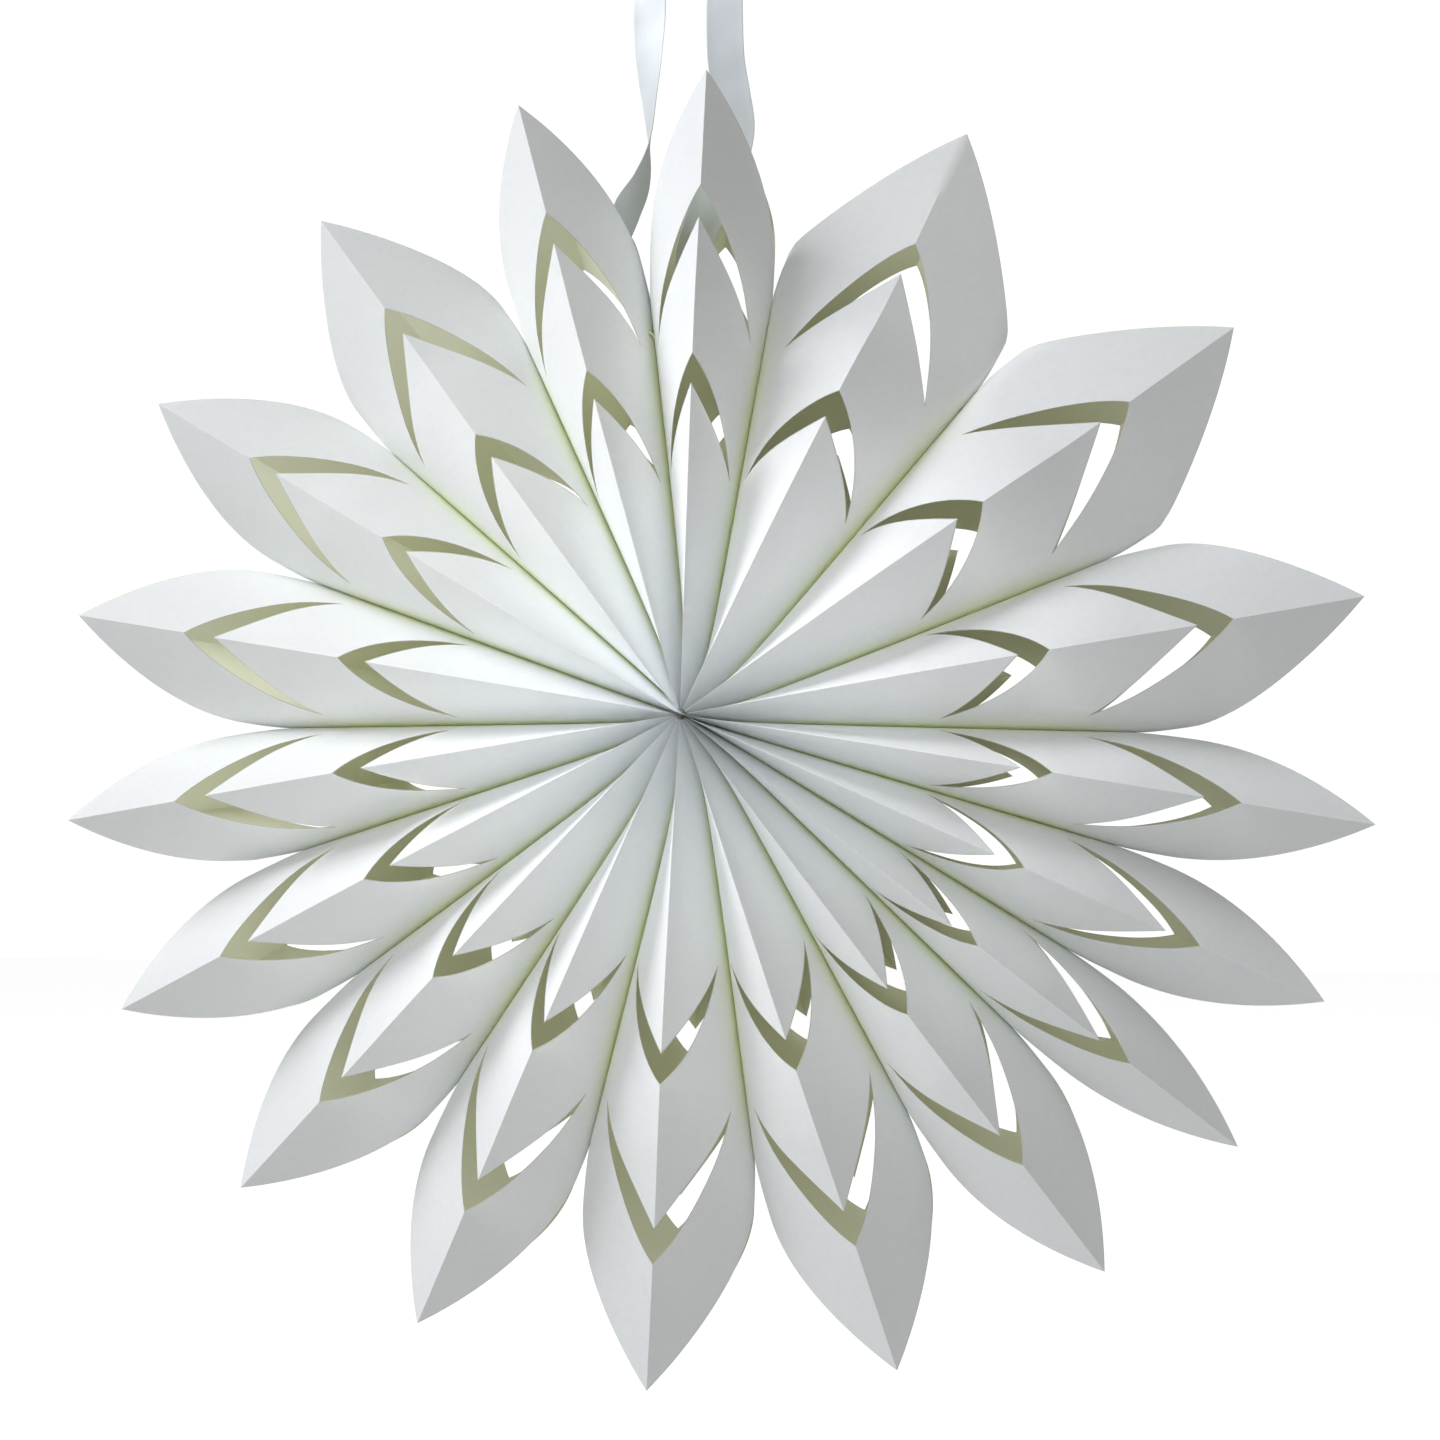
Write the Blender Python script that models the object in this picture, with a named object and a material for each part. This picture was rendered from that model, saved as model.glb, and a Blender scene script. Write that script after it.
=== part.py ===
"""Fan-folded paper star that hangs on a ribbon.

Eighteen paper sleeves, each with a front and a back ridge fold, are glued side by side
along their seams. They open like a fan round one axis, which lies along Y through the hub.
One ribbon runs through a slot in the two end sleeves and holds the fan closed.
The origin is the top of the ribbon's loop. The star faces -Y.
"""

import math

import bmesh
import bpy
from mathutils import Vector

# Driving dimensions, in metres and degrees
TIP_RADIUS = 0.300
QUARTER_WALL = 0.060
PAPER_THICKNESS = 0.0004
SEAM_GAP = 0.0004
HUB_RADIUS = 0.006
HOLLOW_START = 0.016
HUB = Vector((0.0065, 0.0, -0.400))

# Angle that each sleeve fills round the hub, from the top one and on towards -X
OPENINGS = (16.5, 18, 24, 21, 20.5, 17, 18.5, 20, 19.5, 22, 21, 17.5, 12.5, 15, 15, 23, 28.5, 30.5)
TOP_SLEEVE_ANGLE = 88.5

# Places along a sleeve, as shares of the tip radius
SEAM_END = 0.648
NOTCH = 0.735
LEAF_BULGE = 0.30
SEAM_EASE = 0.04
TIP_DEPTH_SHARE = 0.70

# Leaf-shaped cut-outs across each ridge: where they start on the wall, as a share of the way
# from seam to ridge, then their start, inner point and outer point, as shares of the tip radius
CUT_START = 0.33
INNER_CUT = (0.370, 0.495, 0.540)
OUTER_CUT = (0.587, 0.757, 0.809)

# Mesh columns from the seam to the ridge, as shares of the quarter wall
COLUMNS = (0.0, 0.18, CUT_START, 0.54, 0.76, 1.0)
BEND_STEPS = 48
GENTLE_BEND = 2.0
EXTRA_BEND = 36.0
BEND_GATHER = 8
LARGEST_FOLD = 1.6
SHARPEST_FOLD = 0.35
SHARE_LEFT_INSIDE = 0.35

# Slot through the touching walls of the two end sleeves
SLOT_RADIUS = 0.186
SLOT_LENGTH = 0.0205
SLOT_WIDTH = 0.003
SLOT_DEPTH = 0.007

# Ribbon
RIBBON_WIDTH = 0.018
RIBBON_THICKNESS = 0.0005
RIBBON_STEPS = 3

# Ribbon's route from the slot up inside the top sleeve, over the loop and down inside the
# next one: x and z from the hub in millimetres, then the turn of its width out of the
# star's plane in degrees
RIBBON_ROUTE = (
    (-21.2, 184.7, 90),
    (-16.4, 185.4, 90),
    (-12.2, 189.4, 88),
    (-9.2, 200, 76),
    (-6.0, 214, 54),
    (-2.6, 228, 30),
    (2.0, 243, 12),
    (7.6, 257, 2),
    (14.2, 271, 0),
    (17.2, 286, 0),
    (15.0, 303, 0),
    (12.2, 322, 0),
    (11.6, 350, -8),
    (12.0, 372, -38),
    (9.0, 389, -70),
    (1.5, 398, -86),
    (-6.5, 400, -90),
    (-14.5, 398, -94),
    (-22.0, 389, -110),
    (-25.0, 372, -138),
    (-25.0, 350, -160),
    (-25.2, 326, -146),
    (-24.8, 302, -122),
    (-24.8, 279, -100),
    (-28.7, 262, -76),
    (-36.2, 247, -58),
    (-39.8, 231, -76),
    (-38.0, 214, -83),
    (-34.6, 200, -86),
    (-31.0, 190.0, -88),
    (-27.2, 185.6, -90),
    (-22.6, 184.7, -90),
)


def clear_scene():
    for old in list(bpy.data.objects):
        bpy.data.objects.remove(old)


def paper_material():
    paper = bpy.data.materials.new("white_paper")
    paper.use_nodes = True
    shader = paper.node_tree.nodes["Principled BSDF"]
    shader.inputs["Base Color"].default_value = (0.86, 0.88, 0.88, 1.0)
    shader.inputs["Roughness"].default_value = 0.85
    shader.inputs["Metallic"].default_value = 0.0
    return paper


def ribbon_material():
    satin = bpy.data.materials.new("white_ribbon")
    satin.use_nodes = True
    shader = satin.node_tree.nodes["Principled BSDF"]
    shader.inputs["Base Color"].default_value = (0.82, 0.85, 0.88, 1.0)
    shader.inputs["Roughness"].default_value = 0.55
    shader.inputs["Metallic"].default_value = 0.0
    return satin


def turn_at(share, fold, bend):
    """Angle of the bent paper from the Y direction: none at the glued seam, fold at the ridge."""
    return fold * (1.0 - (1.0 - share) ** bend)


def fold_angle(half_opening, bend):
    """Fold at the ridge that makes a quarter wall span half_opening from seam to ridge."""
    low, high = 0.0, LARGEST_FOLD
    for _ in range(40):
        fold = (low + high) / 2.0
        turns = (turn_at((step + 0.5) / BEND_STEPS, fold, bend) for step in range(BEND_STEPS))
        span = sum(math.sin(turn) for turn in turns) * QUARTER_WALL / BEND_STEPS
        if span < half_opening:
            low = fold
        else:
            high = fold
    return fold


def bent_wall(half_opening):
    """Section of a quarter wall: (distance from the middle plane, depth, turn) at each column.

    The wider the sleeve opens, the more its bend gathers at the seam.
    """
    bend = GENTLE_BEND + EXTRA_BEND * (half_opening / QUARTER_WALL) ** BEND_GATHER
    fold = fold_angle(half_opening, bend)
    across, depth, share = half_opening, 0.0, 0.0
    section = []
    for column in COLUMNS:
        steps = max(1, round((column - share) * BEND_STEPS))
        length = (column - share) / steps
        for step in range(steps if column > share else 0):
            turn = turn_at(share + (step + 0.5) * length, fold, bend)
            across -= math.sin(turn) * length * QUARTER_WALL
            depth += math.cos(turn) * length * QUARTER_WALL
        share = column
        section.append((max(across, 0.0), depth, turn_at(column, fold, bend)))
    section[-1] = (0.0, section[-1][1], section[-1][2])
    return section


def half_opening_at(radius, opening):
    """Half the sleeve's width at a radius. It widens along the seams and eases off past them."""
    slope = math.tan(math.radians(opening) / 2.0)
    clearance = SEAM_GAP / 2.0 / math.cos(math.radians(opening) / 2.0)
    seam_end = SEAM_END * TIP_RADIUS
    if radius <= seam_end:
        return radius * slope - clearance
    ease = SEAM_EASE * TIP_RADIUS
    return (seam_end + ease * (1.0 - math.exp((seam_end - radius) / ease))) * slope - clearance


def depth_share_at(radius):
    """Share of the full depth: all of it along the seams, then less as the leaves lean in."""
    past = max(0.0, radius / TIP_RADIUS - SEAM_END) / (1.0 - SEAM_END)
    return 1.0 - (1.0 - TIP_DEPTH_SHARE) * past


def cut_edges(share, cut):
    """Radii of a cut-out's inner and outer edge at a share of the way from seam to ridge."""
    start, inner_point, outer_point = cut
    along = max(0.0, (share - CUT_START) / (1.0 - CUT_START))
    bulge = (along + math.sin(math.pi / 2.0 * along)) / 2.0
    inner = start + (inner_point - start) * along
    outer = start + (outer_point - start) * bulge
    return inner * TIP_RADIUS, outer * TIP_RADIUS


def leaf_edge(share):
    """Radius of the leaf's cut edge at a share of the way from seam to ridge."""
    rounded = share + LEAF_BULGE * share * (1.0 - share)
    return (NOTCH + (1.0 - NOTCH) * rounded) * TIP_RADIUS


def radial_lines(share):
    """Radii of the mesh lines at one column, and which spans between them are open."""
    inner_low, inner_high = cut_edges(share, INNER_CUT)
    outer_low, outer_high = cut_edges(share, OUTER_CUT)
    edge = leaf_edge(share)
    middle = (HUB_RADIUS + inner_low) / 2.0
    radii = (
        HUB_RADIUS,
        middle,
        inner_low,
        inner_high,
        (inner_high + outer_low) / 2.0,
        outer_low,
        outer_high,
        (outer_high + edge) / 2.0,
        edge,
    )
    return radii, (2, 5)


def wall_points(opening, column, radius):
    """Outer and inner surface of the quarter wall at a column and a radius."""
    across, depth, turn = bent_wall(half_opening_at(radius, opening))[column]
    depth *= depth_share_at(radius)
    inside_across = max(across - PAPER_THICKNESS * math.cos(turn), across * SHARE_LEFT_INSIDE)
    if column == len(COLUMNS) - 1:
        inside_depth = depth - PAPER_THICKNESS / max(math.sin(turn), SHARPEST_FOLD)
    else:
        inside_depth = depth - PAPER_THICKNESS * math.sin(turn)
    return (across, depth, radius), (inside_across, inside_depth, radius)


def section_ring(opening, radius, surface):
    """Points round the sleeve's section at a radius, on its outer or its inner surface."""
    columns = range(len(COLUMNS))
    wall = [wall_points(opening, column, radius)[surface] for column in columns]
    ring = [(across, depth) for across, depth, _ in wall]
    ring += [(-across, depth) for across, depth, _ in wall[-2::-1]]
    ring += [(-across, -depth) for across, depth, _ in wall[1:]]
    ring += [(across, -depth) for across, depth, _ in wall[-2:0:-1]]
    return [(across, depth, radius) for across, depth in ring]


def split_quad(quad):
    """Two triangles, split along the shorter diagonal."""
    first, second, third, fourth = quad
    if (first.co - third.co).length <= (second.co - fourth.co).length:
        return (first, second, third), (first, third, fourth)
    return (first, second, fourth), (second, third, fourth)


def sleeve_mesh(name, opening):
    """One folded sleeve about the local Z axis, as a closed shell of paper thickness.

    Its pasted bottom is solid from the hub to the start of its hollow.
    """
    mesh = bmesh.new()
    made = {}

    def vertex(point, side, face):
        place = (round(point[0] * side, 7), round(point[1] * face, 7), round(point[2], 7))
        if place not in made:
            made[place] = mesh.verts.new(place)
        return made[place]

    outer_faces = []
    inner_of = {}
    for side in (1, -1):
        for face in (1, -1):
            columns = []
            for column, share in enumerate(COLUMNS):
                radii, open_spans = radial_lines(share)
                line = []
                for radius in radii:
                    outer = wall_points(opening, column, radius)[0]
                    inner = wall_points(opening, column, max(radius, HOLLOW_START))[1]
                    shell = vertex(outer, side, face)
                    inner_of[shell] = vertex(inner, side, face)
                    line.append(shell)
                columns.append(line)
            for left, right in zip(columns, columns[1:]):
                for span in range(len(left) - 1):
                    if span in open_spans:
                        continue
                    quad = (left[span], right[span], right[span + 1], left[span + 1])
                    for triangle in split_quad(quad):
                        if len(set(triangle)) == 3:
                            corners = triangle[::-1] if side * face > 0 else triangle
                            outer_faces.append(mesh.faces.new(corners))
    for shell in outer_faces:
        mesh.faces.new([inner_of[corner] for corner in reversed(shell.verts)])
    outer_set = set(outer_faces)
    for shell in outer_faces:
        for loop in shell.loops:
            start, end = loop.vert, loop.link_loop_next.vert
            at_hub = max(start.co.z, end.co.z) < HOLLOW_START
            if not at_hub and sum(1 for other in loop.edge.link_faces if other in outer_set) == 1:
                mesh.faces.new([end, start, inner_of[start], inner_of[end]])
    for radius, surface in ((HUB_RADIUS, 0), (HOLLOW_START, 1)):
        ring = section_ring(opening, radius, surface)
        mesh.faces.new([vertex(point, 1, 1) for point in ring])
    bmesh.ops.recalc_face_normals(mesh, faces=mesh.faces)
    data = bpy.data.meshes.new(name)
    mesh.to_mesh(data)
    mesh.free()
    data.shade_smooth()
    data.set_sharp_from_angle(angle=math.radians(28))
    return data


def add_object(name, data, material):
    made = bpy.data.objects.new(name, data)
    data.materials.append(material)
    bpy.context.scene.collection.objects.link(made)
    return made


def slot_cutter():
    """Box through the two touching walls at the closing seam, between sleeves 01 and 02."""
    angle = math.radians(TOP_SLEEVE_ANGLE + OPENINGS[0] / 2.0)
    box = bmesh.new()
    bmesh.ops.create_cube(box, size=1.0)
    bmesh.ops.scale(box, vec=Vector((SLOT_DEPTH, SLOT_LENGTH, SLOT_WIDTH)), verts=box.verts)
    data = bpy.data.meshes.new("slot_cutter")
    box.to_mesh(data)
    box.free()
    cutter = bpy.data.objects.new("slot_cutter", data)
    bpy.context.scene.collection.objects.link(cutter)
    cutter.location = HUB + SLOT_RADIUS * Vector((math.cos(angle), 0.0, math.sin(angle)))
    cutter.rotation_euler = (0.0, math.pi / 2.0 - angle, 0.0)
    cutter.hide_render = True
    cutter.display_type = "WIRE"
    return cutter


def add_slot(sleeve, cutter):
    slot = sleeve.modifiers.new("slot", "BOOLEAN")
    slot.operation = "DIFFERENCE"
    slot.object = cutter


def add_sleeves(material):
    """The fan, one sleeve after another. Each object's origin is on the fan's axis."""
    cutter = slot_cutter()
    middle = TOP_SLEEVE_ANGLE
    for number, opening in enumerate(OPENINGS, start=1):
        if number > 1:
            middle += (OPENINGS[number - 2] + opening) / 2.0
        name = f"petal_{number:02d}"
        sleeve = add_object(name, sleeve_mesh(name, opening), material)
        sleeve.location = HUB
        sleeve.rotation_euler = (0.0, math.radians(90.0 - middle), 0.0)
        if number <= 2:
            add_slot(sleeve, cutter)


def smooth_route():
    """Ribbon's centreline and turn, read from a smooth curve through its route's points."""
    stations = [Vector((x / 1000.0, z / 1000.0, math.radians(turn))) for x, z, turn in RIBBON_ROUTE]
    padded = [2 * stations[0] - stations[1]] + stations + [2 * stations[-1] - stations[-2]]
    smooth = []
    for before, start, end, after in zip(padded, padded[1:], padded[2:], padded[3:]):
        for step in range(RIBBON_STEPS):
            part = step / RIBBON_STEPS
            slope_in, slope_out = (end - before) / 2.0, (after - start) / 2.0
            bend = 3.0 * (end - start) - 2.0 * slope_in - slope_out
            twist = 2.0 * (start - end) + slope_in + slope_out
            smooth.append(start + part * (slope_in + part * (bend + part * twist)))
    smooth.append(stations[-1])
    return [(HUB + Vector((x, 0.0, z)), turn) for x, z, turn in smooth]


def ribbon_mesh():
    """Flat strap swept along its route and turned as the route says."""
    route = smooth_route()
    strap = bmesh.new()
    rings = []
    for index, (centre, turn) in enumerate(route):
        ahead = route[min(index + 1, len(route) - 1)][0]
        behind = route[max(index - 1, 0)][0]
        along = (ahead - behind).normalized()
        sideways = Vector((along.z, 0.0, -along.x))
        width = math.cos(turn) * sideways + math.sin(turn) * Vector((0.0, 1.0, 0.0))
        thickness = along.cross(width)
        half_width = width * RIBBON_WIDTH / 2.0
        half_thickness = thickness * RIBBON_THICKNESS / 2.0
        corners = (
            centre + half_width + half_thickness,
            centre - half_width + half_thickness,
            centre - half_width - half_thickness,
            centre + half_width - half_thickness,
        )
        rings.append([strap.verts.new(corner) for corner in corners])
    for near, far in zip(rings, rings[1:]):
        for corner in range(4):
            following = (corner + 1) % 4
            strap.faces.new([near[corner], near[following], far[following], far[corner]])
    strap.faces.new(rings[0])
    strap.faces.new(list(reversed(rings[-1])))
    bmesh.ops.recalc_face_normals(strap, faces=strap.faces)
    data = bpy.data.meshes.new("hanging_ribbon")
    strap.to_mesh(data)
    strap.free()
    return data


clear_scene()
add_sleeves(paper_material())
add_object("hanging_ribbon", ribbon_mesh(), ribbon_material())
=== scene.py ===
import math

import bmesh
import bpy
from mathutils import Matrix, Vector
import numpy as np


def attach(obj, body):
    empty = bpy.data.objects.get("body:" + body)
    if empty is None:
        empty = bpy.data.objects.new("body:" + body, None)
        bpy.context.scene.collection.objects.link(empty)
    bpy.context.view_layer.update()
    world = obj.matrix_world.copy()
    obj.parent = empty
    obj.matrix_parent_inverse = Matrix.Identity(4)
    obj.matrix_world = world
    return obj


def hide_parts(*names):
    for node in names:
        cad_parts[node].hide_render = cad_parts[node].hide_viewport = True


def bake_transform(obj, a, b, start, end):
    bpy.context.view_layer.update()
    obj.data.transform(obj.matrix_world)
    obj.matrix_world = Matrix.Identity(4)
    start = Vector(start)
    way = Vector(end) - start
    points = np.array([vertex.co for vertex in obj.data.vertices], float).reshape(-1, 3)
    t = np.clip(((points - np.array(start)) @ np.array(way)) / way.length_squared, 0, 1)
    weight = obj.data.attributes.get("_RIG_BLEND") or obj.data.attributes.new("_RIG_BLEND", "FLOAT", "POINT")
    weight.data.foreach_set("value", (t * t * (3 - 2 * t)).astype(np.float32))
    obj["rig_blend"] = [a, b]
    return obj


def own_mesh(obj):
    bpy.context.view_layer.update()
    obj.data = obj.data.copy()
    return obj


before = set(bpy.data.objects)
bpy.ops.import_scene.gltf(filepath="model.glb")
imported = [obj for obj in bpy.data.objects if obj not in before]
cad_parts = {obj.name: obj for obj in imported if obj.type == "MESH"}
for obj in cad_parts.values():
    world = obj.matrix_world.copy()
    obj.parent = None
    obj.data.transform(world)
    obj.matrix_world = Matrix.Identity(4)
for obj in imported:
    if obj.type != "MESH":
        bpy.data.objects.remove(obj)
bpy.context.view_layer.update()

# The star, in metres and degrees, in the frame of the CAD model
TIP_RADIUS = 0.300
QUARTER_WALL = 0.060
PAPER_THICKNESS = 0.0003
HUB_RADIUS = 0.0022
HUB = Vector((0.0065, 0.0, -0.400))
OPENINGS = (16.5, 18, 24, 21, 20.5, 17, 18.5, 20, 19.5, 22, 21, 17.5, 12.5, 15, 15, 23, 28.5, 30.5)
TOP_SLEEVE_ANGLE = 88.5

# Neighbouring walls overlap by this much, so that no light shows through a seam
SEAM_OVERLAP = 0.00006

# Places along a sleeve, as shares of the tip radius
SEAM_END = 0.648
NOTCH = 0.735
LEAF_BULGE = 0.30
SEAM_EASE = 0.04
TIP_DEPTH_SHARE = 0.70
FIRST_ROWS_END = 0.45

# Cut-outs: share of the way from seam to ridge where they start, and then, as shares of the
# tip radius, their start and the inner and outer points on the ridge
CUT_START = 0.33
INNER_CUT = (0.370, 0.495, 0.540)
OUTER_CUT = (0.587, 0.757, 0.809)

# How the paper bends between the seam and the ridge
BEND_STEPS = 60
GENTLE_BEND = 2.0
EXTRA_BEND = 36.0
BEND_GATHER = 8
LARGEST_FOLD = 1.6
SHARPEST_FOLD = 0.35
SHARE_LEFT_INSIDE = 0.35
FOLD_SEARCH_STEPS = 40

# Fine mesh: columns on each side of the cut-outs' start, and rows in each span along a sleeve
SEAM_COLUMNS = 7
RIDGE_COLUMNS = 13
SPAN_ROWS = (14, 7, 5, 1, 12, 1, 6, 7)
OPEN_SPANS = (3, 5)
SHARP_PAPER_ANGLE = 24
SHARP_RIBBON_ANGLE = 50

# Slot that the ribbon runs through: the sleeves that it is cut in, its distance from the hub,
# and its size through the wall, across and along the sleeve
SLOTTED_SLEEVES = (1, 2)
SLOT_RADIUS = 0.186
SLOT_SIZE = (0.007, 0.0205, 0.003)

RIBBON_WIDTH = 0.018
RIBBON_THICKNESS = 0.0005

# Section of the ribbon's upper side: (share of the half width, share of the half thickness)
RIBBON_SECTION = (
    (1.0, 0.55),
    (0.97, 1.0),
    (0.92, 0.72),
    (0.5, 0.66),
    (0.0, 0.66),
    (-0.5, 0.66),
    (-0.92, 0.72),
    (-0.97, 1.0),
    (-1.0, 0.55),
)

# Path of the ribbon: millimetres to the right of and above the hub, and degrees of twist
RIBBON_ROUTE = (
    (-21.2, 184.7, 90),
    (-16.4, 185.4, 90),
    (-12.2, 189.4, 88),
    (-9.2, 200, 76),
    (-6.0, 214, 54),
    (-2.6, 228, 30),
    (2.0, 243, 12),
    (7.6, 257, 2),
    (14.2, 271, 0),
    (17.2, 286, 0),
    (15.0, 303, 0),
    (12.2, 322, 0),
    (11.6, 350, -8),
    (12.0, 372, -38),
    (9.0, 389, -70),
    (1.5, 398, -86),
    (-6.5, 400, -90),
    (-14.5, 398, -94),
    (-22.0, 389, -110),
    (-25.0, 372, -138),
    (-25.0, 350, -160),
    (-25.2, 326, -146),
    (-24.8, 302, -122),
    (-24.8, 279, -100),
    (-28.7, 262, -76),
    (-36.2, 247, -58),
    (-39.8, 231, -76),
    (-38.0, 214, -83),
    (-34.6, 200, -86),
    (-31.0, 190.0, -88),
    (-27.2, 185.6, -90),
    (-22.6, 184.7, -90),
)
ROUTE_STEPS = 8

# Colours, as linear red, green, blue and alpha
PAPER_WHITES = ((0.875, 0.895, 0.905, 1.0), (0.895, 0.91, 0.915, 1.0))
RIBBON_WHITES = ((0.74, 0.78, 0.83, 1.0), (0.80, 0.84, 0.89, 1.0))
# Painted shade: a darker greenish tint on the walls near the seams, standing for light passed through and
# between the paper in the deep valleys
VALLEY_SHADE = (0.82, 0.86, 0.62, 1.0)
# A thin darker olive line right at each seam
SEAM_LINE = (0.56, 0.60, 0.26, 1.0)
# Painted shade: the paper's inner face, darker and greener than its outer face
INSIDE_SHADE = (0.80, 0.81, 0.64, 1.0)
# Painted shade: grey for the paper's thin cut edge
EDGE_SHADE = (0.42, 0.40, 0.36, 1.0)
FLOOR_GREY = (0.9, 0.9, 0.9, 1.0)
FLOOR_GLOW = (1.0, 1.0, 1.0, 1.0)
WORLD_WHITE = (0.985, 1.0, 0.975, 1.0)

# How far the painted valley shade and the seam line reach, as shares of the way from seam to ridge, and
# their strength
VALLEY_SHADE_REACH = 0.42
VALLEY_SHADE_STRENGTH = 0.8
SEAM_LINE_REACH = 0.05
SEAM_LINE_STRENGTH = 0.75

# Shares of the tip radius between which both the painted valley shade and the seam line set in, from the tip
# inwards
TINT_SETS_IN = (0.70, 0.50)

# Range of the cut_edge attribute over which the painted shade on the cut edge sets in, and its strength
EDGE_SETS_IN = (0.86, 0.99)
EDGE_STRENGTH = 0.62

# Range of a noise texture's values that covers both colours of a mottled surface
NOISE_RANGE = (0.35, 0.65)

# Brightness of the world and of the floor's own glow: as light, and as the camera sees it
WORLD_STRENGTH = (0.30, 1.05)
FLOOR_STRENGTH = (0.0, 0.7)
FLOOR_HALF_SIZE = 6.0
FLOOR_HEIGHT = -0.95

# Camera: place from the hub, turn and tilt in degrees, and focal length as a share of the width
CAMERA_PLACE = Vector((0.121, -0.821, -0.053))
CAMERA_TURN = 7.74
CAMERA_TILT = 3.75
CAMERA_SENSOR = 36.0
CAMERA_FOCAL_SHARE = 1767.0 / 1440.0

# White paper hands light on many times before it reaches the bottom of a fold
DIFFUSE_BOUNCES = 12


def half_tangent(degrees):
    return math.tan(math.radians(degrees) / 2.0)


def middle_angles():
    """Angle of each sleeve's middle, which follow each other round the hub."""
    angles = [TOP_SLEEVE_ANGLE]
    for before, opening in zip(OPENINGS, OPENINGS[1:]):
        angles.append(angles[-1] + (before + opening) / 2.0)
    return angles


def turn_at(share, fold, bend):
    """How far the paper has turned, at a share of the way from seam to ridge."""
    return fold * (1.0 - (1.0 - share) ** bend)


def fold_angle(half_opening, bend):
    """Turn at the ridge that makes the wall span the sleeve's half opening."""
    low, high = 0.0, LARGEST_FOLD
    for _ in range(FOLD_SEARCH_STEPS):
        fold = (low + high) / 2.0
        turns = (turn_at((step + 0.5) / BEND_STEPS, fold, bend) for step in range(BEND_STEPS))
        span = sum(math.sin(turn) for turn in turns) * QUARTER_WALL / BEND_STEPS
        if span < half_opening:
            low = fold
        else:
            high = fold
    return fold


def wall_columns():
    """Shares of the way from seam to ridge at which the mesh has a column."""
    to_ridge = 1.0 - CUT_START
    seam = [CUT_START * step / SEAM_COLUMNS for step in range(SEAM_COLUMNS)]
    ridge = [CUT_START + to_ridge * step / RIDGE_COLUMNS for step in range(RIDGE_COLUMNS + 1)]
    return seam + ridge


COLUMNS = wall_columns()


def bent_wall(half_opening):
    """Place across, depth and turn of the quarter wall at each column."""
    bend = GENTLE_BEND + EXTRA_BEND * (half_opening / QUARTER_WALL) ** BEND_GATHER
    fold = fold_angle(half_opening, bend)
    across, depth, share = half_opening, 0.0, 0.0
    section = []
    for column in COLUMNS:
        steps = max(1, round((column - share) * BEND_STEPS))
        length = (column - share) / steps
        for step in range(steps if column > share else 0):
            turn = turn_at(share + (step + 0.5) * length, fold, bend)
            across -= math.sin(turn) * length * QUARTER_WALL
            depth += math.cos(turn) * length * QUARTER_WALL
        share = column
        section.append((max(across, 0.0), depth, turn_at(column, fold, bend)))
    section[-1] = (0.0, section[-1][1], section[-1][2])
    return section


def half_opening_at(radius, opening):
    slope = half_tangent(opening)
    overlap = SEAM_OVERLAP / 2.0 / math.cos(math.radians(opening) / 2.0)
    seam_end = SEAM_END * TIP_RADIUS
    if radius <= seam_end:
        return radius * slope + overlap
    ease = SEAM_EASE * TIP_RADIUS
    return (seam_end + ease * (1.0 - math.exp((seam_end - radius) / ease))) * slope + overlap


SECTIONS = {}


def section_at(opening, radius):
    """The bent wall at a radius, kept for the other columns and rows of the same opening."""
    key = (opening, round(half_opening_at(radius, opening), 5))
    if key not in SECTIONS:
        SECTIONS[key] = bent_wall(half_opening_at(radius, opening))
    return SECTIONS[key]


def depth_share_at(radius):
    """The leaf gets shallower from the seam's end to its tip."""
    past = max(0.0, radius / TIP_RADIUS - SEAM_END) / (1.0 - SEAM_END)
    return 1.0 - (1.0 - TIP_DEPTH_SHARE) * past


def cut_edges(share, cut):
    """Inner and outer radius of a cut-out, at a share of the way from seam to ridge."""
    start, inner_point, outer_point = cut
    along = max(0.0, (share - CUT_START) / (1.0 - CUT_START))
    bulge = (along + math.sin(math.pi / 2.0 * along)) / 2.0
    inner = start + (inner_point - start) * along
    outer = start + (outer_point - start) * bulge
    return inner * TIP_RADIUS, outer * TIP_RADIUS


def leaf_edge(share):
    """Radius of the leaf's cut edge, at a share of the way from seam to ridge."""
    rounded = share + LEAF_BULGE * share * (1.0 - share)
    return (NOTCH + (1.0 - NOTCH) * rounded) * TIP_RADIUS


def row_radii(share):
    """Radii of the mesh rows along a column, and the span that each step belongs to."""
    inner_low, inner_high = cut_edges(share, INNER_CUT)
    outer_low, outer_high = cut_edges(share, OUTER_CUT)
    edge = leaf_edge(share)
    halfway = HUB_RADIUS + (inner_low - HUB_RADIUS) * FIRST_ROWS_END
    marks = [
        HUB_RADIUS,
        halfway,
        (halfway + inner_low) / 2.0,
        inner_low,
        inner_high,
        outer_low,
        outer_high,
        (outer_high + edge) / 2.0,
        edge,
    ]
    radii, spans = [marks[0]], []
    for span, (low, high) in enumerate(zip(marks, marks[1:])):
        for row in range(1, SPAN_ROWS[span] + 1):
            radii.append(low + (high - low) * row / SPAN_ROWS[span])
            spans.append(span)
    return radii, spans


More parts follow.
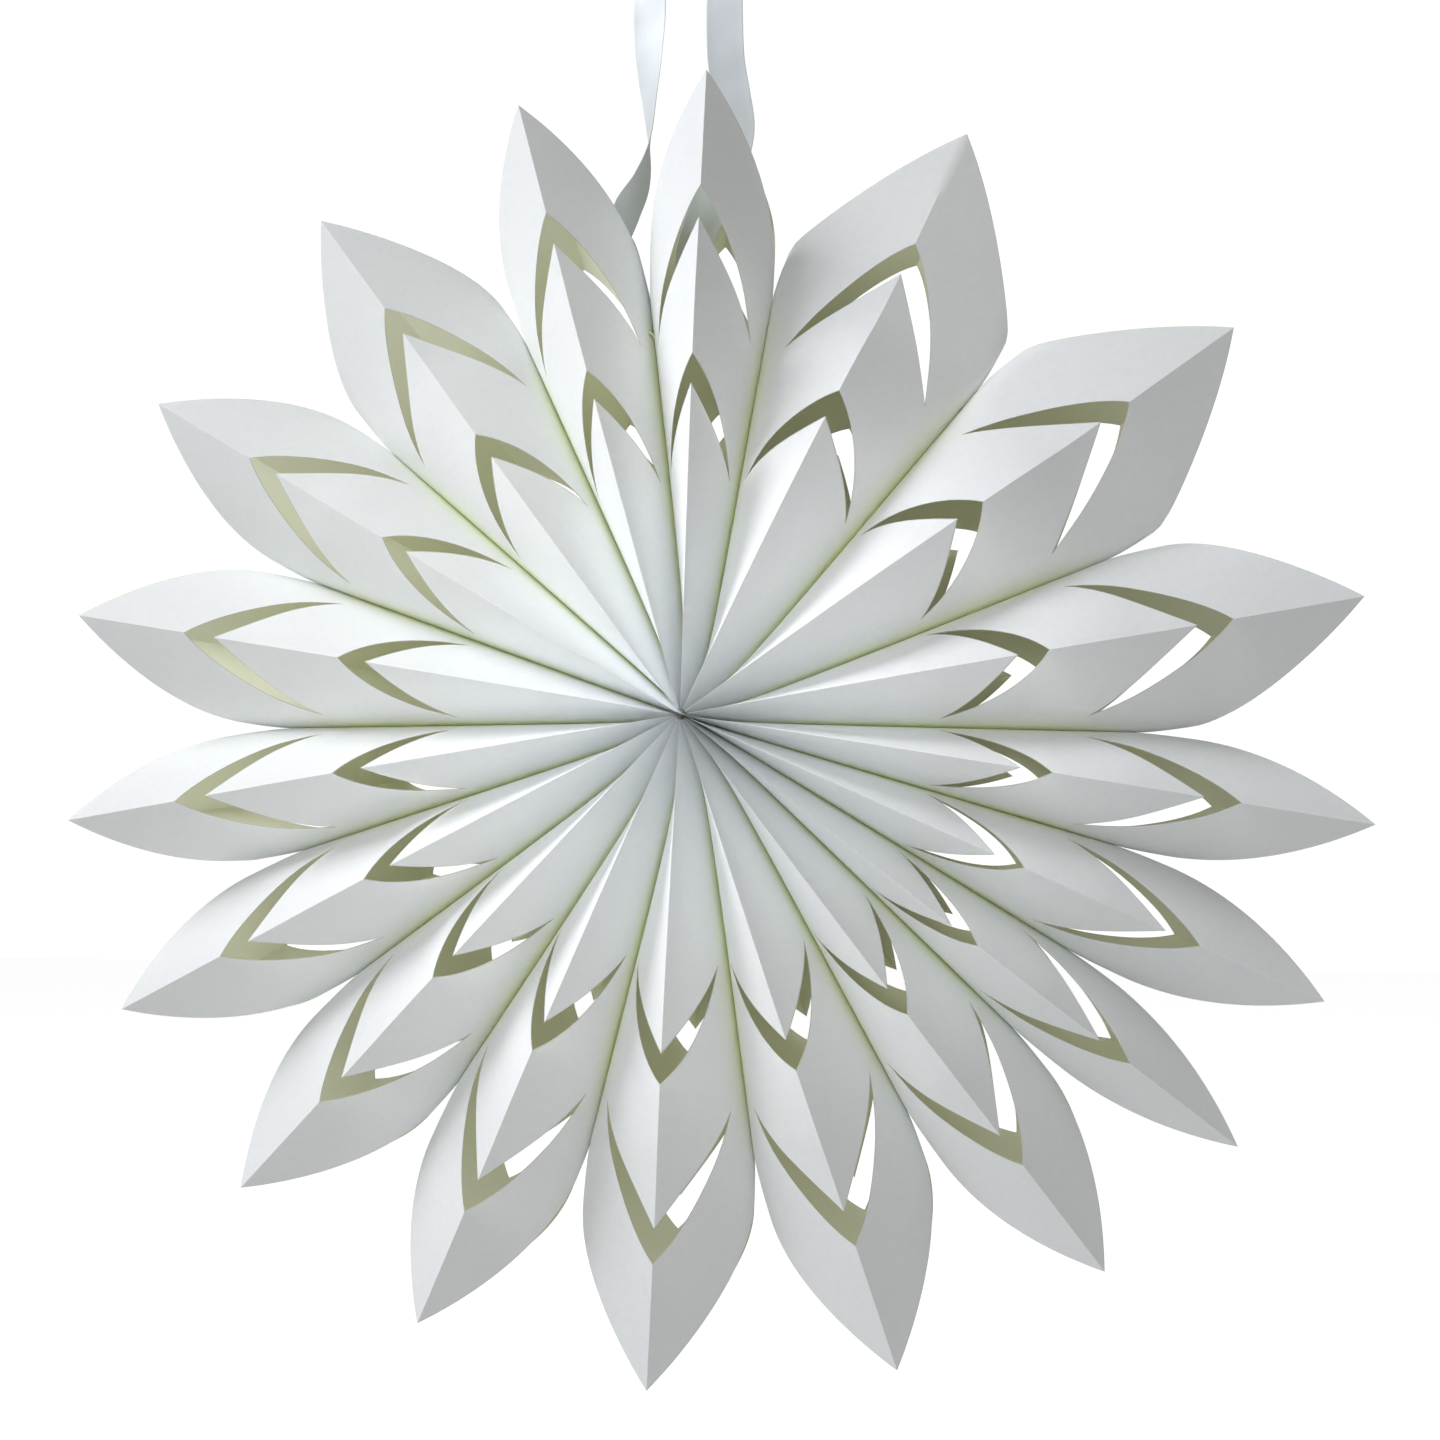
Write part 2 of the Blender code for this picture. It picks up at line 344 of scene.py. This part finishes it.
def wall_line(opening, column):
    """Outer and inner surface points of the quarter wall along one column."""
    radii, _ = row_radii(COLUMNS[column])
    line = []
    for radius in radii:
        across, depth, turn = section_at(opening, radius)[column]
        depth *= depth_share_at(radius)
        inside_across = max(across - PAPER_THICKNESS * math.cos(turn), across * SHARE_LEFT_INSIDE)
        if column == len(COLUMNS) - 1:
            inside_depth = depth - PAPER_THICKNESS / max(math.sin(turn), SHARPEST_FOLD)
        else:
            inside_depth = depth - PAPER_THICKNESS * math.sin(turn)
        line.append(((across, depth, radius), (inside_across, inside_depth, radius)))
    return line


def split_quad(quad):
    """Two triangles, split along the shorter diagonal."""
    first, second, third, fourth = quad
    if (first.co - third.co).length <= (second.co - fourth.co).length:
        return (first, second, third), (first, third, fourth)
    return (first, second, fourth), (second, third, fourth)


def wall_triangles(columns, spans):
    """Triangles between a quarter wall's columns, except in the cut-outs."""
    for left, right in zip(columns, columns[1:]):
        for row, span in enumerate(spans):
            if span not in OPEN_SPANS:
                quad = (left[row], right[row], right[row + 1], left[row + 1])
                yield from (corners for corners in split_quad(quad) if len(set(corners)) == 3)


def add_inside_and_rims(mesh, outer_faces, inner_of, cut_edge):
    """Adds the paper's inner face, and its cut edges between the outer and inner faces."""
    for shell in outer_faces:
        mesh.faces.new([inner_of[corner] for corner in reversed(shell.verts)])
    outer_set = set(outer_faces)
    for shell in outer_faces:
        for loop in shell.loops:
            if sum(1 for other in loop.edge.link_faces if other in outer_set) == 1:
                start, end = loop.vert, loop.link_loop_next.vert
                rim = [end, start, inner_of[start], inner_of[end]]
                mesh.faces.new(rim)
                for corner in rim:
                    corner[cut_edge] = 1.0


def finished_mesh(name, mesh, sharp_angle):
    """Mesh data with outward normals, smooth except where it turns more than an angle."""
    bmesh.ops.recalc_face_normals(mesh, faces=mesh.faces)
    data = bpy.data.meshes.new(name)
    mesh.to_mesh(data)
    mesh.free()
    data.shade_smooth()
    data.set_sharp_from_angle(angle=math.radians(sharp_angle))
    return data


def sleeve_mesh(name, opening):
    """One sleeve as a thin closed sheet, with the attributes that the paper material reads."""
    mesh = bmesh.new()
    layers = mesh.verts.layers.float
    wall, along, inside = layers.new("wall_share"), layers.new("along_share"), layers.new("inside")
    cut_edge = layers.new("cut_edge")
    made = {}

    def vertex(point, side, face, share, within):
        place = (round(point[0] * side, 7), round(point[1] * face, 7), round(point[2], 7))
        key = place + (within,)
        if key not in made:
            new = mesh.verts.new(place)
            new[wall] = share
            new[along] = point[2] / TIP_RADIUS
            new[inside] = within
            made[key] = new
        return made[key]

    lines = [wall_line(opening, column) for column in range(len(COLUMNS))]
    spans = row_radii(COLUMNS[0])[1]
    outer_faces = []
    inner_of = {}
    for side in (-1, 1):
        for face in (-1, 1):
            columns = []
            for share, points in zip(COLUMNS, lines):
                line = []
                for outer, inner in points:
                    shell = vertex(outer, side, face, share, 0.0)
                    inner_of[shell] = vertex(inner, side, face, share, 1.0)
                    line.append(shell)
                columns.append(line)
            for corners in wall_triangles(columns, spans):
                outward = corners[::-1] if side * face > 0 else corners
                outer_faces.append(mesh.faces.new(outward))
    add_inside_and_rims(mesh, outer_faces, inner_of, cut_edge)
    return finished_mesh(name, mesh, SHARP_PAPER_ANGLE)


def new_material(name):
    material = bpy.data.materials.new(name)
    material.use_nodes = True
    tree = material.node_tree
    return material, tree, tree.nodes["Principled BSDF"]


def node(tree, kind, **settings):
    made = tree.nodes.new(kind)
    for key, value in settings.items():
        setattr(made, key, value)
    return made


def set_sockets(made, values):
    for socket, value in values.items():
        made.inputs[socket].default_value = value


def mixed(tree, factor, first, second):
    """Mix of two colours by a factor socket. A colour may be a socket or four numbers."""
    mix = node(tree, "ShaderNodeMix", data_type="RGBA")
    tree.links.new(factor, mix.inputs[0])
    for slot, colour in ((6, first), (7, second)):
        if isinstance(colour, tuple):
            mix.inputs[slot].default_value = colour
        else:
            tree.links.new(colour, mix.inputs[slot])
    return mix.outputs[2]


def ramp(tree, source, low, high, first, last):
    """Value that goes from first to last as source goes from low to high."""
    made = node(tree, "ShaderNodeMapRange", interpolation_type="SMOOTHSTEP")
    set_sockets(made, {1: low, 2: high, 3: first, 4: last})
    tree.links.new(source, made.inputs[0])
    return made.outputs[0]


def times(tree, first, second):
    """Product of a socket and another socket or number."""
    made = node(tree, "ShaderNodeMath", operation="MULTIPLY")
    tree.links.new(first, made.inputs[0])
    if isinstance(second, float):
        made.inputs[1].default_value = second
    else:
        tree.links.new(second, made.inputs[1])
    return made.outputs[0]


def attribute(tree, name):
    return node(tree, "ShaderNodeAttribute", attribute_name=name).outputs["Fac"]


def pattern(tree, kind, values, **settings):
    """Texture that stays with the piece, as a value."""
    coordinates = node(tree, "ShaderNodeTexCoord")
    made = node(tree, kind, **settings)
    set_sockets(made, values)
    tree.links.new(coordinates.outputs["Object"], made.inputs["Vector"])
    return made.outputs["Fac"]


def mottled(tree, scale, detail, colours):
    """Colour that wavers between two close ones."""
    noise = pattern(tree, "ShaderNodeTexNoise", {"Scale": scale, "Detail": detail})
    return mixed(tree, ramp(tree, noise, *NOISE_RANGE, 0.0, 1.0), *colours)


def add_bump(tree, shader, height, strength, distance):
    bump = node(tree, "ShaderNodeBump")
    set_sockets(bump, {"Strength": strength, "Distance": distance})
    tree.links.new(height, bump.inputs["Height"])
    tree.links.new(bump.outputs["Normal"], shader.inputs["Normal"])


def paper_material():
    """White paper, with painted greenish shade towards the seams that join the sleeves, a thin olive line
    right at each seam, a painted darker and greener inner face, and painted shade on the thin cut edge.
    """
    material, tree, shader = new_material("white_paper")
    wall = attribute(tree, "wall_share")
    white = mottled(tree, scale=320.0, detail=5.0, colours=PAPER_WHITES)
    along_seam = ramp(tree, attribute(tree, "along_share"), *TINT_SETS_IN, 0.0, 1.0)
    # Painted shade in the valleys: greenish tint near the seams, stronger towards the hub
    seam = times(tree, ramp(tree, wall, 0.0, VALLEY_SHADE_REACH, 1.0, 0.0), along_seam)
    valley_shaded = mixed(tree, times(tree, seam, VALLEY_SHADE_STRENGTH), white, VALLEY_SHADE)
    # Darker olive line right at each seam, stronger towards the hub
    seam_line = times(tree, ramp(tree, wall, 0.0, SEAM_LINE_REACH, 1.0, 0.0), SEAM_LINE_STRENGTH)
    seam_lined = mixed(tree, times(tree, seam_line, along_seam), valley_shaded, SEAM_LINE)
    # Painted shade on the inner face of the paper
    inside_shaded = mixed(tree, attribute(tree, "inside"), seam_lined, INSIDE_SHADE)
    # Painted shade on the thin cut edge
    edge = ramp(tree, attribute(tree, "cut_edge"), *EDGE_SETS_IN, 0.0, EDGE_STRENGTH)
    tree.links.new(mixed(tree, edge, inside_shaded, EDGE_SHADE), shader.inputs["Base Color"])
    set_sockets(shader, {
        "Roughness": 0.8,
        "Specular IOR Level": 0.25,
        "Subsurface Weight": 0.6,
        "Subsurface Radius": (1.0, 1.0, 0.75),
        "Subsurface Scale": 0.0012,
    })
    fibre_sizes = {"Scale": 900.0, "Detail": 4.0, "Roughness": 0.6}
    fibres = pattern(tree, "ShaderNodeTexNoise", fibre_sizes)
    add_bump(tree, shader, fibres, strength=0.10, distance=0.0002)
    return material


def ribbon_material():
    """Satin, with a fine weave across the ribbon."""
    material, tree, shader = new_material("white_ribbon")
    white = mottled(tree, scale=40.0, detail=2.0, colours=RIBBON_WHITES)
    tree.links.new(white, shader.inputs["Base Color"])
    set_sockets(shader, {"Roughness": 0.42, "Sheen Weight": 0.3})
    bands = {"wave_type": "BANDS", "bands_direction": "Z"}
    weave = pattern(tree, "ShaderNodeTexWave", {"Scale": 900.0}, **bands)
    add_bump(tree, shader, weave, strength=0.15, distance=0.0001)
    return material


def link(name, data, material=None):
    made = bpy.data.objects.new(name, data)
    if material:
        data.materials.append(material)
    bpy.context.scene.collection.objects.link(made)
    return made


def cut_slot(sleeve):
    """Cuts the ribbon's slot through the sleeve's wall at the closing seam."""
    angle = math.radians(TOP_SLEEVE_ANGLE + OPENINGS[0] / 2.0)
    box = bmesh.new()
    bmesh.ops.create_cube(box, size=1.0)
    bmesh.ops.scale(box, vec=Vector(SLOT_SIZE), verts=box.verts)
    data = bpy.data.meshes.new("slot_cutter")
    box.to_mesh(data)
    box.free()
    cutter = link("slot_cutter", data)
    cutter.location = HUB + SLOT_RADIUS * Vector((math.cos(angle), 0.0, math.sin(angle)))
    cutter.rotation_euler = (0.0, math.pi / 2.0 - angle, 0.0)
    slot = sleeve.modifiers.new("slot", "BOOLEAN")
    slot.operation = "DIFFERENCE"
    slot.object = cutter
    bpy.context.view_layer.update()
    seen = sleeve.evaluated_get(bpy.context.evaluated_depsgraph_get())
    sleeve.data = bpy.data.meshes.new_from_object(seen)
    sleeve.modifiers.clear()
    bpy.data.objects.remove(cutter)


def add_sleeves(material):
    """Adds the eighteen sleeves, each attached to its petal, and gives every sleeve but the first a mesh of
    its own.
    """
    for number, (middle, opening) in enumerate(zip(middle_angles(), OPENINGS), start=1):
        name, body = f"sleeve_{number:02d}", f"petal_{number:02d}"
        sleeve = link(name, sleeve_mesh(name, opening), material)
        sleeve.location = HUB
        sleeve.rotation_euler = (0.0, math.radians(90.0 - middle), 0.0)
        if number in SLOTTED_SLEEVES:
            cut_slot(sleeve)
        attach(sleeve, body)
        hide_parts(body)
        if number > 1:
            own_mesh(sleeve)


def smooth_route(steps):
    """Points and twists along the ribbon's path, on a smooth curve with steps in each stretch."""
    stations = [Vector((x / 1000.0, z / 1000.0, math.radians(turn))) for x, z, turn in RIBBON_ROUTE]
    padded = [2 * stations[0] - stations[1]] + stations + [2 * stations[-1] - stations[-2]]
    smooth = []
    for before, start, end, after in zip(padded, padded[1:], padded[2:], padded[3:]):
        for step in range(steps):
            part = step / steps
            slope_in, slope_out = (end - before) / 2.0, (after - start) / 2.0
            bend = 3.0 * (end - start) - 2.0 * slope_in - slope_out
            twist = 2.0 * (start - end) + slope_in + slope_out
            smooth.append(start + part * (slope_in + part * (bend + part * twist)))
    smooth.append(stations[-1])
    return [(HUB + Vector((x, 0.0, z)), turn) for x, z, turn in smooth]


def ribbon_mesh():
    route = smooth_route(ROUTE_STEPS)
    strap = bmesh.new()
    rings = []
    outline = list(RIBBON_SECTION) + [(x, -y) for x, y in reversed(RIBBON_SECTION)]
    for index, (centre, turn) in enumerate(route):
        ahead = route[min(index + 1, len(route) - 1)][0]
        behind = route[max(index - 1, 0)][0]
        along = (ahead - behind).normalized()
        sideways = Vector((along.z, 0.0, -along.x))
        width = math.cos(turn) * sideways + math.sin(turn) * Vector((0.0, 1.0, 0.0))
        thickness = along.cross(width)
        half_width = width * RIBBON_WIDTH / 2.0
        half_thickness = thickness * RIBBON_THICKNESS / 2.0
        corners = [centre + x * half_width + y * half_thickness for x, y in outline]
        rings.append([strap.verts.new(corner) for corner in corners])
    for near, far in zip(rings, rings[1:]):
        for corner in range(len(outline)):
            following = (corner + 1) % len(outline)
            strap.faces.new([near[corner], near[following], far[following], far[corner]])
    strap.faces.new(rings[0])
    strap.faces.new(list(reversed(rings[-1])))
    return finished_mesh("ribbon", strap, SHARP_RIBBON_ANGLE)


def add_ribbon(material):
    ribbon = link("ribbon_loop", ribbon_mesh(), material)
    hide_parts("hanging_ribbon")
    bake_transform(ribbon, "ribbon", "petal_01", start=(0, 0, -0.008), end=(0, 0, -0.1))


def add_camera():
    data = bpy.data.cameras.new("camera")
    data.sensor_width = CAMERA_SENSOR
    data.lens = CAMERA_SENSOR * CAMERA_FOCAL_SHARE
    data.clip_start = 0.01
    camera = link("camera", data)
    camera.location = HUB + CAMERA_PLACE
    level = math.pi / 2.0
    camera.rotation_euler = (level + math.radians(CAMERA_TILT), 0.0, math.radians(CAMERA_TURN))
    bpy.context.scene.camera = camera


def strength(tree, lighting, seen):
    """One strength for the light that a surface gives, and another for how the camera sees it."""
    path = node(tree, "ShaderNodeLightPath")
    mix = node(tree, "ShaderNodeMix", data_type="FLOAT")
    tree.links.new(path.outputs["Is Camera Ray"], mix.inputs[0])
    set_sockets(mix, {2: lighting, 3: seen})
    return mix.outputs[0]


def add_world():
    world = bpy.data.worlds.new("world")
    bpy.context.scene.world = world
    world.use_nodes = True
    tree = world.node_tree
    background = tree.nodes["Background"]
    background.inputs["Color"].default_value = WORLD_WHITE
    tree.links.new(strength(tree, *WORLD_STRENGTH), background.inputs["Strength"])


def add_light(name, kind, place, aim, power, colour, **settings):
    data = bpy.data.lights.new(name, kind)
    data.energy = power
    data.color = colour
    for key, value in settings.items():
        setattr(data, key, value)
    light = link(name, data)
    light.location = place
    light.rotation_euler = (aim - place).to_track_quat("-Z", "Y").to_euler()


def add_floor():
    data = bpy.data.meshes.new("floor")
    half = FLOOR_HALF_SIZE
    corners = [(-half, -half, 0), (half, -half, 0), (half, half, 0), (-half, half, 0)]
    data.from_pydata(corners, [], [(0, 1, 2, 3)])
    material, tree, shader = new_material("pale_floor")
    set_sockets(shader, {"Base Color": FLOOR_GREY, "Roughness": 0.9, "Emission Color": FLOOR_GLOW})
    tree.links.new(strength(tree, *FLOOR_STRENGTH), shader.inputs["Emission Strength"])
    floor = link("floor", data, material)
    floor.location = (0.0, 0.0, FLOOR_HEIGHT)


add_camera()
add_world()
add_sleeves(paper_material())
add_ribbon(ribbon_material())
add_floor()
add_light(
    "key",
    "AREA",
    place=Vector((-1.45, -0.75, 1.15)),
    aim=Vector((0.0, 0.0, -0.4)),
    power=41.0,
    colour=(0.965, 0.985, 1.0),
    shape="DISK",
    size=1.2,
)
add_light(
    "hub_fill",
    "SPOT",
    place=HUB + Vector((-0.1, -1.6, 0.1)),
    aim=HUB,
    power=84.0,
    colour=(1.0, 1.0, 0.94),
    spot_size=math.radians(12.5),
    spot_blend=1.0,
    shadow_soft_size=0.15,
)

bpy.context.scene.view_settings.view_transform = "Standard"
bpy.context.scene.cycles.diffuse_bounces = DIFFUSE_BOUNCES
